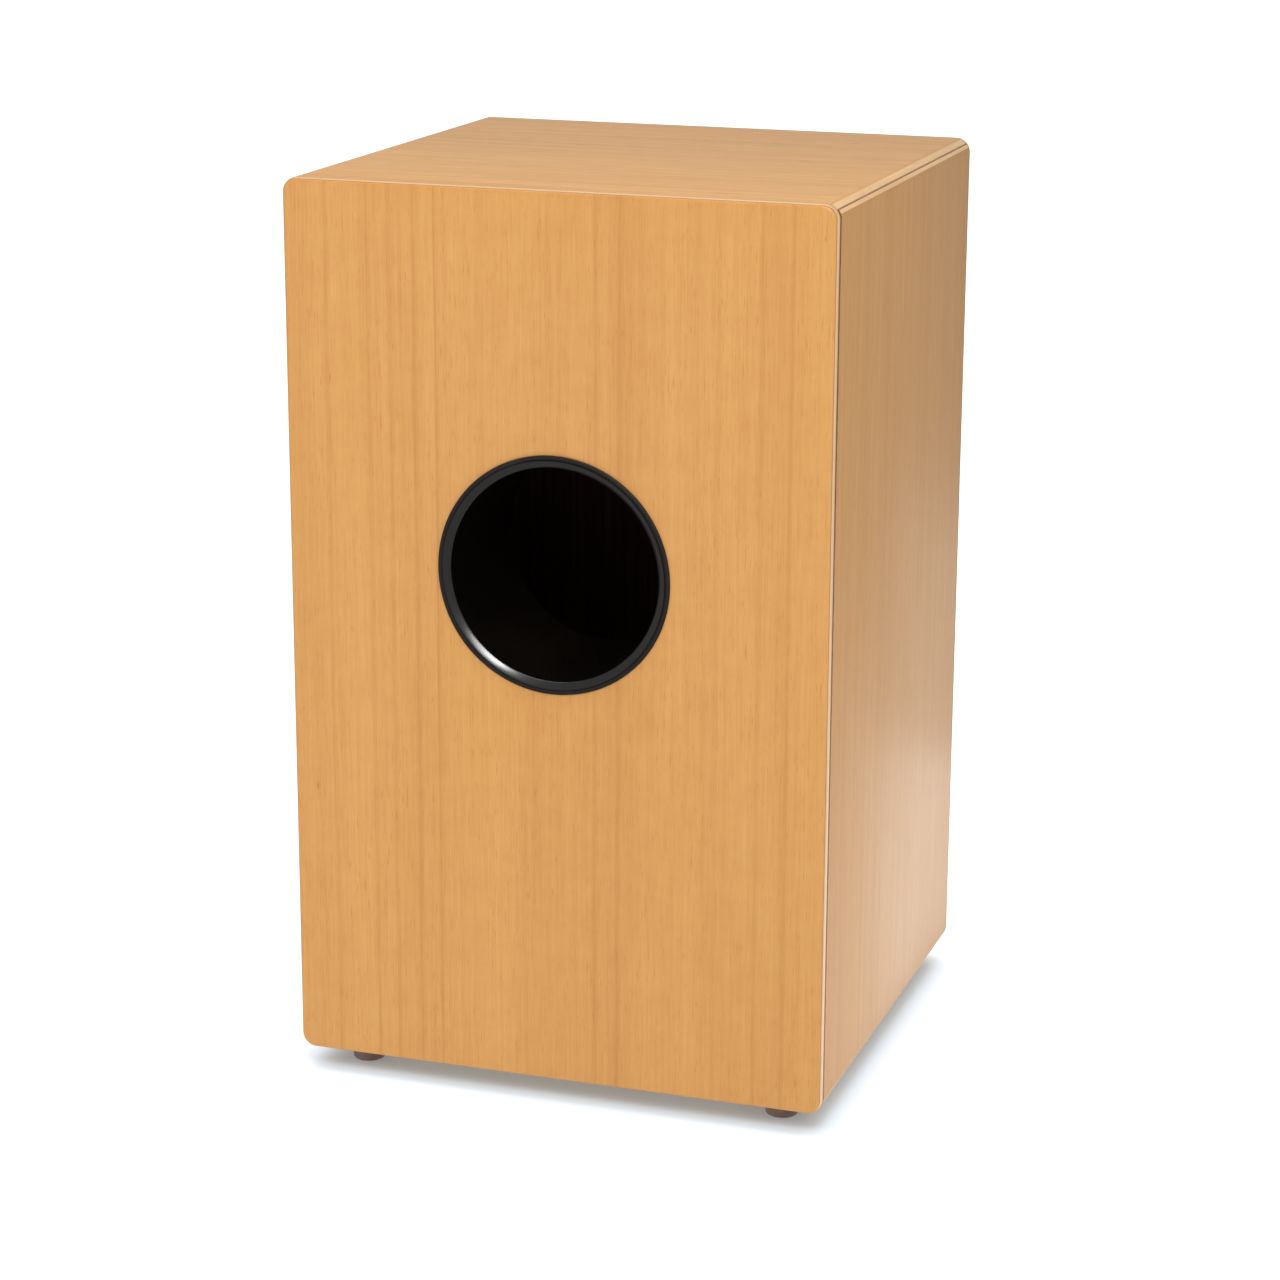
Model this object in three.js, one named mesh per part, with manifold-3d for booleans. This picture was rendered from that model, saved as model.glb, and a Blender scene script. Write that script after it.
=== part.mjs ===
// A snare cajon: a plywood box to sit on, with a thin screwed-on playing panel in front (-Y), a glued-on
// panel with a moulded sound port behind (+Y), four rubber feet, and two sets of snare wires on a bar
// that turns in its end blocks. Millimetres, +Z up, origin on the floor under the middle of the box.
import * as THREE from "three";
import { mergeVertices } from "three/addons/utils/BufferGeometryUtils.js";
import Module from "manifold-3d";

const wasm = await Module();
wasm.setup();

// ---- Driving dimensions ----
const WIDTH = 300;
const DEPTH = 286; // from the playing panel's face to the back panel's face
const HEIGHT = 498;
const FOOT_HEIGHT = 13;
const PANEL = 12; // thickness of the top, bottom and side panels
const LAP = 3.2; // what the corner rabbets leave of the top and bottom panels, over the sides' ends
const TAPA = 3; // thickness of the playing panel
const BACK = 5; // thickness of the back panel
const ROUND = 8; // radius of the long outer edges, and of the front and back panels' corners
const EASED = 1.8; // rounding of the front and back panels' outer edges
const SEAM = 0.1; // glue line or bare contact between neighbours
const PROUD = 1.5; // how far the port's lip and the playing panel's screw heads stand out
const PORT_HEIGHT = 296.5; // centre of the sound port above the floor
const PORT_RADIUS = 57.5; // inside of the port tube
const PORT_LENGTH = 91; // from its lip to its inner end
const THREAD = 0.3; // room round a screw's shank, for the wood fibres that its thread has cut

const TAPA_FACE = -DEPTH / 2;
const BACK_FACE = DEPTH / 2;
const SHELL_FRONT = TAPA_FACE + TAPA + SEAM;
const SHELL_BACK = BACK_FACE - BACK - SEAM;
const INSIDE_X = WIDTH / 2 - PANEL;
const INSIDE_TOP = HEIGHT - PANEL;
const INSIDE_BOTTOM = FOOT_HEIGHT + PANEL;
const MIDDLE_Z = (HEIGHT + FOOT_HEIGHT) / 2;

// ---- Finishes ----
const finish = (color, roughness, metalness = 0) =>
  new THREE.MeshStandardMaterial({ color, roughness, metalness });
const VENEER = finish(0xdba25c, 0.35);
const TAPA_VENEER = finish(0xe0ab68, 0.35);
const BEECH = finish(0xc9975f, 0.6);
const BLACK_PLASTIC = finish(0x141312, 0.25);
const RUBBER = finish(0x5f4d46, 0.8);
const ZINC = finish(0xb9bcc0, 0.35, 1);
const BLACK_STEEL = finish(0x1c1c1e, 0.35, 1);
const SPRING_STEEL = finish(0xc9ccd0, 0.25, 1);

// ---- Solid modelling ----
function toSolid(geometry) {
  const bare = geometry.clone();
  bare.deleteAttribute("normal");
  bare.deleteAttribute("uv");
  const merged = mergeVertices(bare, 1e-4);
  const mesh = new wasm.Mesh({
    numProp: 3,
    vertProperties: merged.attributes.position.array,
    triVerts: new Uint32Array(merged.index.array),
  });
  return new wasm.Manifold(mesh);
}

// The bodies joined, less the tools.
function carve(bodies, tools) {
  const joined = bodies.map(toSolid).reduce((solid, body) => solid.add(body));
  const mesh = tools.reduce((solid, tool) => solid.subtract(toSolid(tool)), joined).getMesh();
  const geometry = new THREE.BufferGeometry();
  geometry.setAttribute("position", new THREE.BufferAttribute(mesh.vertProperties, 3));
  geometry.setIndex(new THREE.BufferAttribute(mesh.triVerts, 1));
  geometry.computeVertexNormals();
  return geometry;
}

// The same piece on the other side of x = 0, with its faces turned to point outwards again.
function mirrored(geometry) {
  const copy = geometry.clone().scale(-1, 1, 1);
  const corners = copy.index.array;
  for (let face = 0; face < corners.length; face += 3) {
    [corners[face], corners[face + 1]] = [corners[face + 1], corners[face]];
  }
  copy.computeVertexNormals();
  return copy;
}

const box = (x0, x1, y0, y1, z0, z1) =>
  new THREE.BoxGeometry(x1 - x0, y1 - y0, z1 - z0).translate((x0 + x1) / 2, (y0 + y1) / 2, (z0 + z1) / 2);

const rodAlongX = (x0, x1, y, z, radius, sides) =>
  new THREE.CylinderGeometry(radius, radius, x1 - x0, sides)
    .rotateZ(Math.PI / 2)
    .translate((x0 + x1) / 2, y, z);

const rodAlongY = (x, y0, y1, z, radius, sides) =>
  new THREE.CylinderGeometry(radius, radius, y1 - y0, sides).translate(x, (y0 + y1) / 2, z);

const rodAlongZ = (x, y, z0, z1, radius, sides) =>
  new THREE.CylinderGeometry(radius, radius, z1 - z0, sides)
    .rotateX(Math.PI / 2)
    .translate(x, y, (z0 + z1) / 2);

// An outline in X and Z, extruded from y0 to y1. A bevel rounds both ends within that depth.
function extrudeAlongY(shape, y0, y1, bevel = 0) {
  const geometry = new THREE.ExtrudeGeometry(shape, {
    depth: y1 - y0 - 2 * bevel,
    curveSegments: 8,
    bevelEnabled: bevel > 0,
    bevelThickness: bevel,
    bevelSize: bevel,
    bevelOffset: -bevel,
    bevelSegments: 3,
  });
  return geometry.rotateX(Math.PI / 2).translate(0, y1 - bevel, 0);
}

const cajon = new THREE.Group();

function add(name, geometry, material, x = 0, y = 0, z = 0) {
  const mesh = new THREE.Mesh(geometry, material);
  mesh.name = name;
  mesh.position.set(x, y, z);
  cajon.add(mesh);
}

// ---- Screws: lathed along +Y, with the head's underside or rim at y = 0 and the dome towards -Y ----
const TAPA_SCREW = { head: 3.8, dome: PROUD, sink: 1.9, shank: 1.75, length: 16, point: 3 };
const FOOT_SCREW = { head: 3.6, dome: 2, sink: 0, shank: 1.75, length: 18, point: 3 };
const BLOCK_SCREW = { head: 3.4, dome: 1.8, sink: 0, shank: 1.6, length: 25, point: 3 };
const STRIP_SCREW = { head: 2.4, dome: 1.2, sink: 0, shank: 1.1, length: 9, point: 2 };
const SCREW_SIDES = 12;

function screwGeometry({ head, dome, sink, shank, length, point }) {
  const neck = Math.max(sink, 0.01); // a head that isn't countersunk has a flat underside
  const profile = [
    new THREE.Vector2(0, -dome),
    new THREE.Vector2(head * 0.7, -dome * 0.72),
    new THREE.Vector2(head, 0),
    new THREE.Vector2(shank, neck),
    new THREE.Vector2(shank, length - point),
    new THREE.Vector2(0, length),
  ];
  return new THREE.LatheGeometry(profile, SCREW_SIDES);
}

// ---- Top, bottom and side panels: rabbeted at the corners, with one round over both pieces of a corner ----
const ROUND_X = WIDTH / 2 - ROUND; // centre of the rounds
const reachAt = (drop) => ROUND_X + Math.sqrt(ROUND ** 2 - (ROUND - drop) ** 2);
const angleAt = (drop) => Math.asin((ROUND - drop) / ROUND);

// Inner face at z = 0, outer face at z = PANEL. The rabbet's tongue reaches out over the side panel's end.
function lidOutline() {
  const tongue = INSIDE_X - SEAM;
  const shape = new THREE.Shape();
  shape.moveTo(-tongue, 0);
  shape.lineTo(tongue, 0);
  shape.lineTo(tongue, PANEL - LAP);
  shape.lineTo(reachAt(LAP), PANEL - LAP);
  shape.absarc(ROUND_X, PANEL - ROUND, ROUND, angleAt(LAP), Math.PI / 2, false);
  shape.absarc(-ROUND_X, PANEL - ROUND, ROUND, Math.PI / 2, Math.PI - angleAt(LAP), false);
  shape.lineTo(-tongue, PANEL - LAP);
  shape.closePath();
  return shape;
}

function sideOutline() {
  const drop = LAP + SEAM;
  const shape = new THREE.Shape();
  shape.moveTo(INSIDE_X, FOOT_HEIGHT + drop);
  shape.lineTo(reachAt(drop), FOOT_HEIGHT + drop);
  shape.absarc(ROUND_X, FOOT_HEIGHT + ROUND, ROUND, -angleAt(drop), 0, false);
  shape.absarc(ROUND_X, HEIGHT - ROUND, ROUND, 0, angleAt(drop), false);
  shape.lineTo(INSIDE_X, HEIGHT - drop);
  shape.closePath();
  return shape;
}

// Screw places along the edges of the playing panel, which the shell's pilot holes share.
const SCREW_INSET = PANEL / 2;
const SCREW_HALF_X = WIDTH / 2 - SCREW_INSET;
const SCREW_TOP = HEIGHT - SCREW_INSET;
const SCREW_BOTTOM = FOOT_HEIGHT + SCREW_INSET;
const ROW_X = [-2, -1, 0, 1, 2].map((step) => (step * (SCREW_HALF_X - 2 * PANEL)) / 2);
const COLUMN_Z = [-3, -1, 1, 3].map((step) => MIDDLE_Z + (step * (SCREW_TOP - SCREW_BOTTOM)) / 10);
const TAPA_SCREWS = [
  ...ROW_X.map((x, index) => [`top_${index + 1}`, x, SCREW_TOP]),
  ...ROW_X.map((x, index) => [`bottom_${index + 1}`, x, SCREW_BOTTOM]),
  ...COLUMN_Z.map((z, index) => [`left_${index + 1}`, -SCREW_HALF_X, z]),
  ...COLUMN_Z.map((z, index) => [`right_${index + 1}`, SCREW_HALF_X, z]),
];
const PILOT_DEPTH = 15;

const tapaPilots = (edge) =>
  TAPA_SCREWS.filter(([place]) => place.startsWith(edge)).map(([, x, z]) => {
    const radius = TAPA_SCREW.shank + THREAD;
    return rodAlongY(x, SHELL_FRONT - 1, SHELL_FRONT + PILOT_DEPTH, z, radius, SCREW_SIDES);
  });

const FOOT_X = 121;
const FOOT_Y = 115;
const FOOT_PLACES = [
  ["front_left", -FOOT_X, -FOOT_Y],
  ["front_right", FOOT_X, -FOOT_Y],
  ["back_left", -FOOT_X, FOOT_Y],
  ["back_right", FOOT_X, FOOT_Y],
];

const lid = extrudeAlongY(lidOutline(), SHELL_FRONT, SHELL_BACK);
add("top_panel", carve([lid.clone().translate(0, 0, INSIDE_TOP)], tapaPilots("top")), VENEER);

const floorPanel = lid.clone().rotateY(Math.PI).translate(0, 0, INSIDE_BOTTOM);
const footPilots = FOOT_PLACES.map(([, x, y]) =>
  rodAlongZ(x, y, FOOT_HEIGHT - 1, INSIDE_BOTTOM - 1, FOOT_SCREW.shank + THREAD, SCREW_SIDES),
);
add("bottom_panel", carve([floorPanel], [...tapaPilots("bottom"), ...footPilots]), VENEER);

// The snare bar's end blocks are screwed to the side panels, above and below the bar's axis.
const SNARE_Y = -123;
const SNARE_Z = 370;
const BLOCK_SCREW_RISE = 15;
const BLOCK_PILOT = 8;
const blockScrewPlaces = [["lower", SNARE_Z - BLOCK_SCREW_RISE], ["upper", SNARE_Z + BLOCK_SCREW_RISE]];

const blockPilots = blockScrewPlaces.map(([, z]) =>
  rodAlongX(INSIDE_X - 1, INSIDE_X + BLOCK_PILOT, SNARE_Y, z, BLOCK_SCREW.shank + THREAD, SCREW_SIDES),
);
const rightSide = extrudeAlongY(sideOutline(), SHELL_FRONT, SHELL_BACK);
const rightPanel = carve([rightSide], [...tapaPilots("right"), ...blockPilots]);
add("right_side_panel", rightPanel, VENEER);
add("left_side_panel", mirrored(rightPanel), VENEER);

// ---- Front and back panels: flush with the box, with its rounded corners ----
function faceOutline() {
  const half = WIDTH / 2;
  const shape = new THREE.Shape();
  shape.absarc(half - ROUND, HEIGHT - ROUND, ROUND, 0, Math.PI / 2, false);
  shape.absarc(-half + ROUND, HEIGHT - ROUND, ROUND, Math.PI / 2, Math.PI, false);
  shape.absarc(-half + ROUND, FOOT_HEIGHT + ROUND, ROUND, Math.PI, Math.PI * 1.5, false);
  shape.absarc(half - ROUND, FOOT_HEIGHT + ROUND, ROUND, -Math.PI / 2, 0, false);
  shape.closePath();
  return shape;
}

function tapaHole([, x, z]) {
  const gap = SEAM * Math.SQRT2;
  const sink = TAPA_SCREW.sink;
  const profile = [
    new THREE.Vector2(0, -1),
    new THREE.Vector2(TAPA_SCREW.head + gap, -1),
    new THREE.Vector2(TAPA_SCREW.head + gap, 0),
    new THREE.Vector2(TAPA_SCREW.shank + THREAD, sink),
    new THREE.Vector2(TAPA_SCREW.shank + THREAD, TAPA + 1),
    new THREE.Vector2(0, TAPA + 1),
  ];
  return new THREE.LatheGeometry(profile, SCREW_SIDES).translate(x, TAPA_FACE, z);
}

// Extruded deeper than the panel is thick, so that the rounding on the glued side can be cut off flat.
const tapaBlank = extrudeAlongY(faceOutline(), TAPA_FACE, TAPA_FACE + TAPA + EASED, EASED);
const tapaExcess = box(-WIDTH, WIDTH, TAPA_FACE + TAPA, 0, 0, 2 * HEIGHT);
add("playing_panel", carve([tapaBlank], [tapaExcess, ...TAPA_SCREWS.map(tapaHole)]), TAPA_VENEER);

const PORT_SIDES = 48;
const PORT_WALL = 3;
const PORT_FIT = 0.4; // between the port tube and the hole that it passes through
const holeRadius = PORT_RADIUS + PORT_WALL + PORT_FIT;
const backBlank = extrudeAlongY(faceOutline(), BACK_FACE - BACK - EASED, BACK_FACE, EASED);
const backExcess = box(-WIDTH, WIDTH, 0, BACK_FACE - BACK, 0, 2 * HEIGHT);
const portHole = rodAlongY(0, BACK_FACE - BACK - 1, BACK_FACE + 1, PORT_HEIGHT, holeRadius, PORT_SIDES);
add("back_panel", carve([backBlank], [backExcess, portHole]), VENEER);

for (const [place, x, z] of TAPA_SCREWS) {
  add(`playing_panel_screw_${place}`, screwGeometry(TAPA_SCREW), BLACK_STEEL, x, TAPA_FACE, z);
}

// ---- Sound port: a moulded tube with a rounded lip and a thin flange that laps the hole's edge ----
const FLANGE_RADIUS = 64.3;
const FLANGE = 1;
const LIP_RADIUS = 61.7;
const ROLL_DEPTH = 3.5; // how far the lip's rounded mouth runs in behind the panel's face

function portGeometry() {
  const outer = PORT_RADIUS + PORT_WALL;
  const mouth = new THREE.Vector2(PORT_RADIUS, -ROLL_DEPTH);
  const roll = new THREE.EllipseCurve(
    LIP_RADIUS - 0.4,
    -ROLL_DEPTH,
    LIP_RADIUS - 0.4 - PORT_RADIUS,
    ROLL_DEPTH + PROUD,
    Math.PI,
    Math.PI / 2,
    true,
  );
  const lip = roll.getPoints(4);
  lip[0] = mouth;
  const profile = [
    ...lip,
    new THREE.Vector2(LIP_RADIUS, FLANGE),
    new THREE.Vector2(FLANGE_RADIUS - 0.3, FLANGE),
    new THREE.Vector2(FLANGE_RADIUS, FLANGE - 0.4),
    new THREE.Vector2(FLANGE_RADIUS, SEAM),
    new THREE.Vector2(outer, SEAM),
    new THREE.Vector2(outer, PROUD - PORT_LENGTH),
    new THREE.Vector2(PORT_RADIUS, PROUD - PORT_LENGTH),
    mouth,
  ];
  return new THREE.LatheGeometry(profile.reverse(), PORT_SIDES);
}

add("sound_port", portGeometry(), BLACK_PLASTIC, 0, BACK_FACE, PORT_HEIGHT);

// ---- Feet: rubber, each held by a screw and washer inside its bore ----
const FOOT_RADIUS = 10;
const FOOT_TAPER = 1;
const FOOT_BORE = 5;
const FOOT_SEAT = 6.5;
const WASHER = 1;
const WASHER_RADIUS = 4.6;

function footGeometry() {
  const rim = FOOT_RADIUS - FOOT_TAPER;
  const profile = [
    new THREE.Vector2(FOOT_BORE, 0),
    new THREE.Vector2(rim - 1.5, 0),
    new THREE.Vector2(rim - 0.45, 0.45),
    new THREE.Vector2(rim, 1.5),
    new THREE.Vector2(FOOT_RADIUS, FOOT_HEIGHT - SEAM),
    new THREE.Vector2(FOOT_SCREW.shank + THREAD, FOOT_HEIGHT - SEAM),
    new THREE.Vector2(FOOT_SCREW.shank + THREAD, FOOT_SEAT),
    new THREE.Vector2(FOOT_BORE, FOOT_SEAT),
    new THREE.Vector2(FOOT_BORE, 0),
  ];
  return new THREE.LatheGeometry(profile, 24).rotateX(Math.PI / 2);
}

function washerGeometry() {
  const hole = FOOT_SCREW.shank + THREAD;
  const profile = [
    new THREE.Vector2(hole, 0),
    new THREE.Vector2(WASHER_RADIUS, 0),
    new THREE.Vector2(WASHER_RADIUS, WASHER),
    new THREE.Vector2(hole, WASHER),
    new THREE.Vector2(hole, 0),
  ];
  return new THREE.LatheGeometry(profile, 16).rotateX(Math.PI / 2);
}

const washerZ = FOOT_SEAT - SEAM - WASHER;
for (const [place, x, y] of FOOT_PLACES) {
  add(`foot_${place}`, footGeometry(), RUBBER, x, y, 0);
  add(`foot_washer_${place}`, washerGeometry(), ZINC, x, y, washerZ);
  add(`foot_screw_${place}`, screwGeometry(FOOT_SCREW).rotateX(Math.PI / 2), ZINC, x, y, washerZ - SEAM);
}

// ---- Snare bar: a beech batten whose round ends turn, with friction, in blocks screwed to the sides ----
const BAR_HALF_Y = 12;
const BAR_HALF_Z = 10;
const PIN_RADIUS = 7;
const PIN_SIDES = 32;
const RUNNING = 0.06; // clearance of the round ends in their bores
const BLOCK_THICKNESS = 18;
const BLOCK_X = INSIDE_X - SEAM - BLOCK_THICKNESS; // inner face of an end block
const BAR_END = BLOCK_X - 3; // its square ends pass the heads of the blocks' screws
const STRIP_X = 60; // centre of each snare
const STRIP_HALF = 34;
const STRIP_SCREW_X = 24;
const STRIP_SCREW_DROP = 4;
const BAR_FACE = SNARE_Y - BAR_HALF_Y;

function snareBar() {
  const reach = INSIDE_X - 1;
  const batten = box(-BAR_END, BAR_END, -BAR_HALF_Y, BAR_HALF_Y, -BAR_HALF_Z, BAR_HALF_Z);
  const pin = rodAlongX(-reach, reach, 0, 0, PIN_RADIUS, PIN_SIDES);
  const pilots = [-1, 1].flatMap((side) =>
    [-1, 1].map((end) => {
      const x = side * STRIP_X + end * STRIP_SCREW_X;
      return rodAlongY(x, -BAR_HALF_Y - 1, 0, -STRIP_SCREW_DROP, STRIP_SCREW.shank + THREAD, SCREW_SIDES);
    }),
  );
  return carve([batten, pin], pilots);
}

add("snare_bar", snareBar(), BEECH, 0, SNARE_Y, SNARE_Z);

const BLOCK_FRONT = TAPA_FACE + TAPA + 1.5; // clear of the playing panel, so that it can vibrate
const BLOCK_DEPTH = 36;
const BLOCK_HALF_Z = 24;

for (const [place, side] of [["left", -1], ["right", 1]]) {
  const [x0, x1] = [side * BLOCK_X, side * (BLOCK_X + BLOCK_THICKNESS)].sort((a, b) => a - b);
  const [z0, z1] = [SNARE_Z - BLOCK_HALF_Z, SNARE_Z + BLOCK_HALF_Z];
  const blank = box(x0, x1, BLOCK_FRONT, BLOCK_FRONT + BLOCK_DEPTH, z0, z1);
  const boreRadius = (PIN_RADIUS + RUNNING) / Math.cos(Math.PI / PIN_SIDES);
  const bore = rodAlongX(x0 - 1, x1 + 1, SNARE_Y, SNARE_Z, boreRadius, PIN_SIDES);
  const screwHoles = blockScrewPlaces.map(([, z]) =>
    rodAlongX(x0 - 1, x1 + 1, SNARE_Y, z, BLOCK_SCREW.shank + THREAD, SCREW_SIDES),
  );
  add(`snare_block_${place}`, carve([blank], [bore, ...screwHoles]), BEECH);
  for (const [level, z] of blockScrewPlaces) {
    const geometry = screwGeometry(BLOCK_SCREW).rotateZ((-side * Math.PI) / 2);
    add(`snare_block_screw_${place}_${level}`, geometry, ZINC, side * (BLOCK_X - SEAM), SNARE_Y, z);
  }
}

// ---- Snares: each a folded steel strip, screwed to the bar, with a fan of coiled wires standing on it ----
const STRIP_PLATE = 1;
const STRIP_FOLD = 3.6; // thickness where the strip is folded over the wires' ends
const STRIP_BOTTOM = -7;
const STRIP_FOLD_Z = 3;
const STRIP_TOP = 9;
const WIRE = 2.6; // diameter of a coiled wire
const WIRE_FRONT = TAPA_FACE + TAPA + 0.3; // the wires all but touch the playing panel's inner face
const WIRE_LENGTH = 96;
const FAN_FOOT = 31; // half width of the fan at the strip, and at its free end
const FAN_TIP = 43;

function stripGeometry() {
  const plate = box(-STRIP_HALF, STRIP_HALF, -STRIP_PLATE, 0, STRIP_BOTTOM, STRIP_TOP);
  const fold = box(-STRIP_HALF, STRIP_HALF, -STRIP_FOLD, 0, STRIP_FOLD_Z, STRIP_TOP);
  const radius = STRIP_SCREW.shank + THREAD;
  const holes = [-1, 1].map((end) =>
    rodAlongY(end * STRIP_SCREW_X, -STRIP_FOLD - 1, 1, -STRIP_SCREW_DROP, radius, SCREW_SIDES),
  );
  return carve([plate, fold], holes);
}

function fanGeometry() {
  const foot = STRIP_TOP + SEAM;
  const shape = new THREE.Shape();
  shape.moveTo(-FAN_FOOT, foot);
  shape.lineTo(FAN_FOOT, foot);
  shape.lineTo(FAN_TIP, foot + WIRE_LENGTH);
  shape.lineTo(-FAN_TIP, foot + WIRE_LENGTH);
  shape.closePath();
  return extrudeAlongY(shape, 0, WIRE);
}

for (const [place, side] of [["left", -1], ["right", 1]]) {
  const x = side * STRIP_X;
  add(`snare_strip_${place}`, stripGeometry(), ZINC, x, BAR_FACE - SEAM, SNARE_Z);
  add(`snare_wires_${place}`, fanGeometry(), SPRING_STEEL, x, WIRE_FRONT, SNARE_Z);
  for (const [end, step] of [["outer", side], ["inner", -side]]) {
    const seat = BAR_FACE - STRIP_PLATE - 2 * SEAM;
    const screwX = x + step * STRIP_SCREW_X;
    const name = `snare_strip_screw_${place}_${end}`;
    add(name, screwGeometry(STRIP_SCREW), ZINC, screwX, seat, SNARE_Z - STRIP_SCREW_DROP);
  }
}

export default cajon;
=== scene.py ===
# A snare cajon, piece by piece. Metres; +Z is up, the playing panel is at -Y and the sound port at +Y.
from math import asin, cos, pi, radians, sin, sqrt

import bmesh
import bpy
from mathutils import Matrix, Vector


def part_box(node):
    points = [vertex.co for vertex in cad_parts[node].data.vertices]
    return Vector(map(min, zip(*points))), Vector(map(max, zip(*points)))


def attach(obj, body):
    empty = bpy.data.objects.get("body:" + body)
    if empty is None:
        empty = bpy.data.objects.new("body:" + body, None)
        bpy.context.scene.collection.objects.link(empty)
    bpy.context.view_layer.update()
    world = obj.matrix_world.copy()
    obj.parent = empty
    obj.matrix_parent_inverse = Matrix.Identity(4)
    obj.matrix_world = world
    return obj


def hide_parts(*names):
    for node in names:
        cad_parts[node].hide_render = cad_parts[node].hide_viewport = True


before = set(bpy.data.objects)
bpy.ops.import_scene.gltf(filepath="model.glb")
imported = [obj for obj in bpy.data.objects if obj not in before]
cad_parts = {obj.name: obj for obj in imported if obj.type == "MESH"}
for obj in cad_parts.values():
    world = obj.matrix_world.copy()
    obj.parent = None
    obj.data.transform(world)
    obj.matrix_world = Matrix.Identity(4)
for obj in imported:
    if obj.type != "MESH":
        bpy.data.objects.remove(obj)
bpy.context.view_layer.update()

# ---- Camera ---------------------------------------------------------------------------------------
# A long lens, from behind and above: the back panel and one side show, and a sliver of the seat. The
# view is turned a hair about the line of sight.
AZIMUTH = radians(198.5)
ELEVATION = radians(15.55)
ROLL = radians(0.25)
EYE_PLACE = (-0.5825, 1.7404, 0.7351)
SENSOR_WIDTH = 36  # mm
FOCAL_WIDTHS = 2.626  # focal length over the sensor's width

eye = bpy.data.cameras.new("eye")
eye.sensor_fit = "HORIZONTAL"
eye.sensor_width = SENSOR_WIDTH
eye.lens = FOCAL_WIDTHS * eye.sensor_width
eye.clip_end = 100
camera = bpy.data.objects.new("camera", eye)
bpy.context.scene.collection.objects.link(camera)
turn = Matrix.Rotation(AZIMUTH, 4, "Z") @ Matrix.Rotation(pi / 2 - ELEVATION, 4, "X")
turn = turn @ Matrix.Rotation(ROLL, 4, "Z")
camera.matrix_world = Matrix.Translation(EYE_PLACE) @ turn
bpy.context.scene.camera = camera
bpy.context.scene.view_settings.view_transform = "Standard"

# ---- Studio ---------------------------------------------------------------------------------------
# A sheet of white paper that glows a little, but less close to the box, which paints a shadow under and round
# it;
# soft boxes round and above the box, and a pale room. One lamp lights without a sheen; two cards on the paper
# and one lamp high up give nothing but a sheen.
FLOOR_SIZE = 60
# The paper's glow is dimmed round this spot under the box: a painted shadow.
PAINTED_SHADOW_SPOT = (0.13, 0.12, 0)  # half sizes of the spot that the paper's glow spreads from
PAPER = (0.485, 0.615, 0.775)
ROOM_TINT = (1, 0.99, 0.975)
ROOM_STRENGTH = 0.34
# The paper's own light is the sum of two rings. Each starts and ends at a distance from the footprint, and
# goes from one strength to another on the way. The first ring keeps the paper dim close to the box: a painted
# shadow.
GLOW_AND_PAINTED_SHADOW = ((0.0, 0.044, 0.17, 0.88), (0.3, 2.4, 0.0, 0.12))


def add_floor():
    bpy.ops.mesh.primitive_plane_add(size=FLOOR_SIZE)
    floor = bpy.context.object
    floor.name = "studio_floor"
    floor.visible_glossy = False
    paper = bpy.data.materials.new("white_paper")
    paper.use_nodes = True
    shader = paper.node_tree.nodes["Principled BSDF"]
    shader.inputs["Base Color"].default_value = (*PAPER, 1)
    shader.inputs["Roughness"].default_value = 0.9
    shader.inputs["Specular IOR Level"].default_value = 0.1
    shader.inputs["Emission Color"].default_value = (1, 1, 1, 1)
    links = paper.node_tree.links
    place = paper.node_tree.nodes.new("ShaderNodeTexCoord")
    reach = place.outputs["Object"]
    measures = (("ABSOLUTE", None), ("SUBTRACT", PAINTED_SHADOW_SPOT), ("MAXIMUM", (0, 0, 0)), ("LENGTH", None))
    for operation, value in measures:
        step = paper.node_tree.nodes.new("ShaderNodeVectorMath")
        step.operation = operation
        links.new(reach, step.inputs[0])
        if value:
            step.inputs[1].default_value = value
        reach = step.outputs["Value"] if operation == "LENGTH" else step.outputs["Vector"]
    # Dimmer near the box, brighter away from it: a painted shadow on the paper.
    glow_and_shadow = paper.node_tree.nodes.new("ShaderNodeMath")
    for socket, stretch in zip(glow_and_shadow.inputs, GLOW_AND_PAINTED_SHADOW):
        ring = paper.node_tree.nodes.new("ShaderNodeMapRange")
        ring.interpolation_type = "SMOOTHSTEP"
        for edge, value in zip(ring.inputs[1:5], stretch):
            edge.default_value = value
        links.new(reach, ring.inputs["Value"])
        links.new(ring.outputs["Result"], socket)
    links.new(glow_and_shadow.outputs["Value"], shader.inputs["Emission Strength"])
    floor.data.materials.append(paper)


def add_softbox(name, place, aim, size, power, diffuse=True, sheen=True):
    lamp = bpy.data.lights.new(name, "AREA")
    lamp.shape = "RECTANGLE"
    lamp.size, lamp.size_y = size
    lamp.energy = power
    box = bpy.data.objects.new(name, lamp)
    bpy.context.scene.collection.objects.link(box)
    box.location = place
    box.visible_camera = False
    box.visible_diffuse = diffuse
    box.visible_glossy = sheen
    box.rotation_euler = (Vector(aim) - Vector(place)).to_track_quat("-Z", "Y").to_euler()


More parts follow.
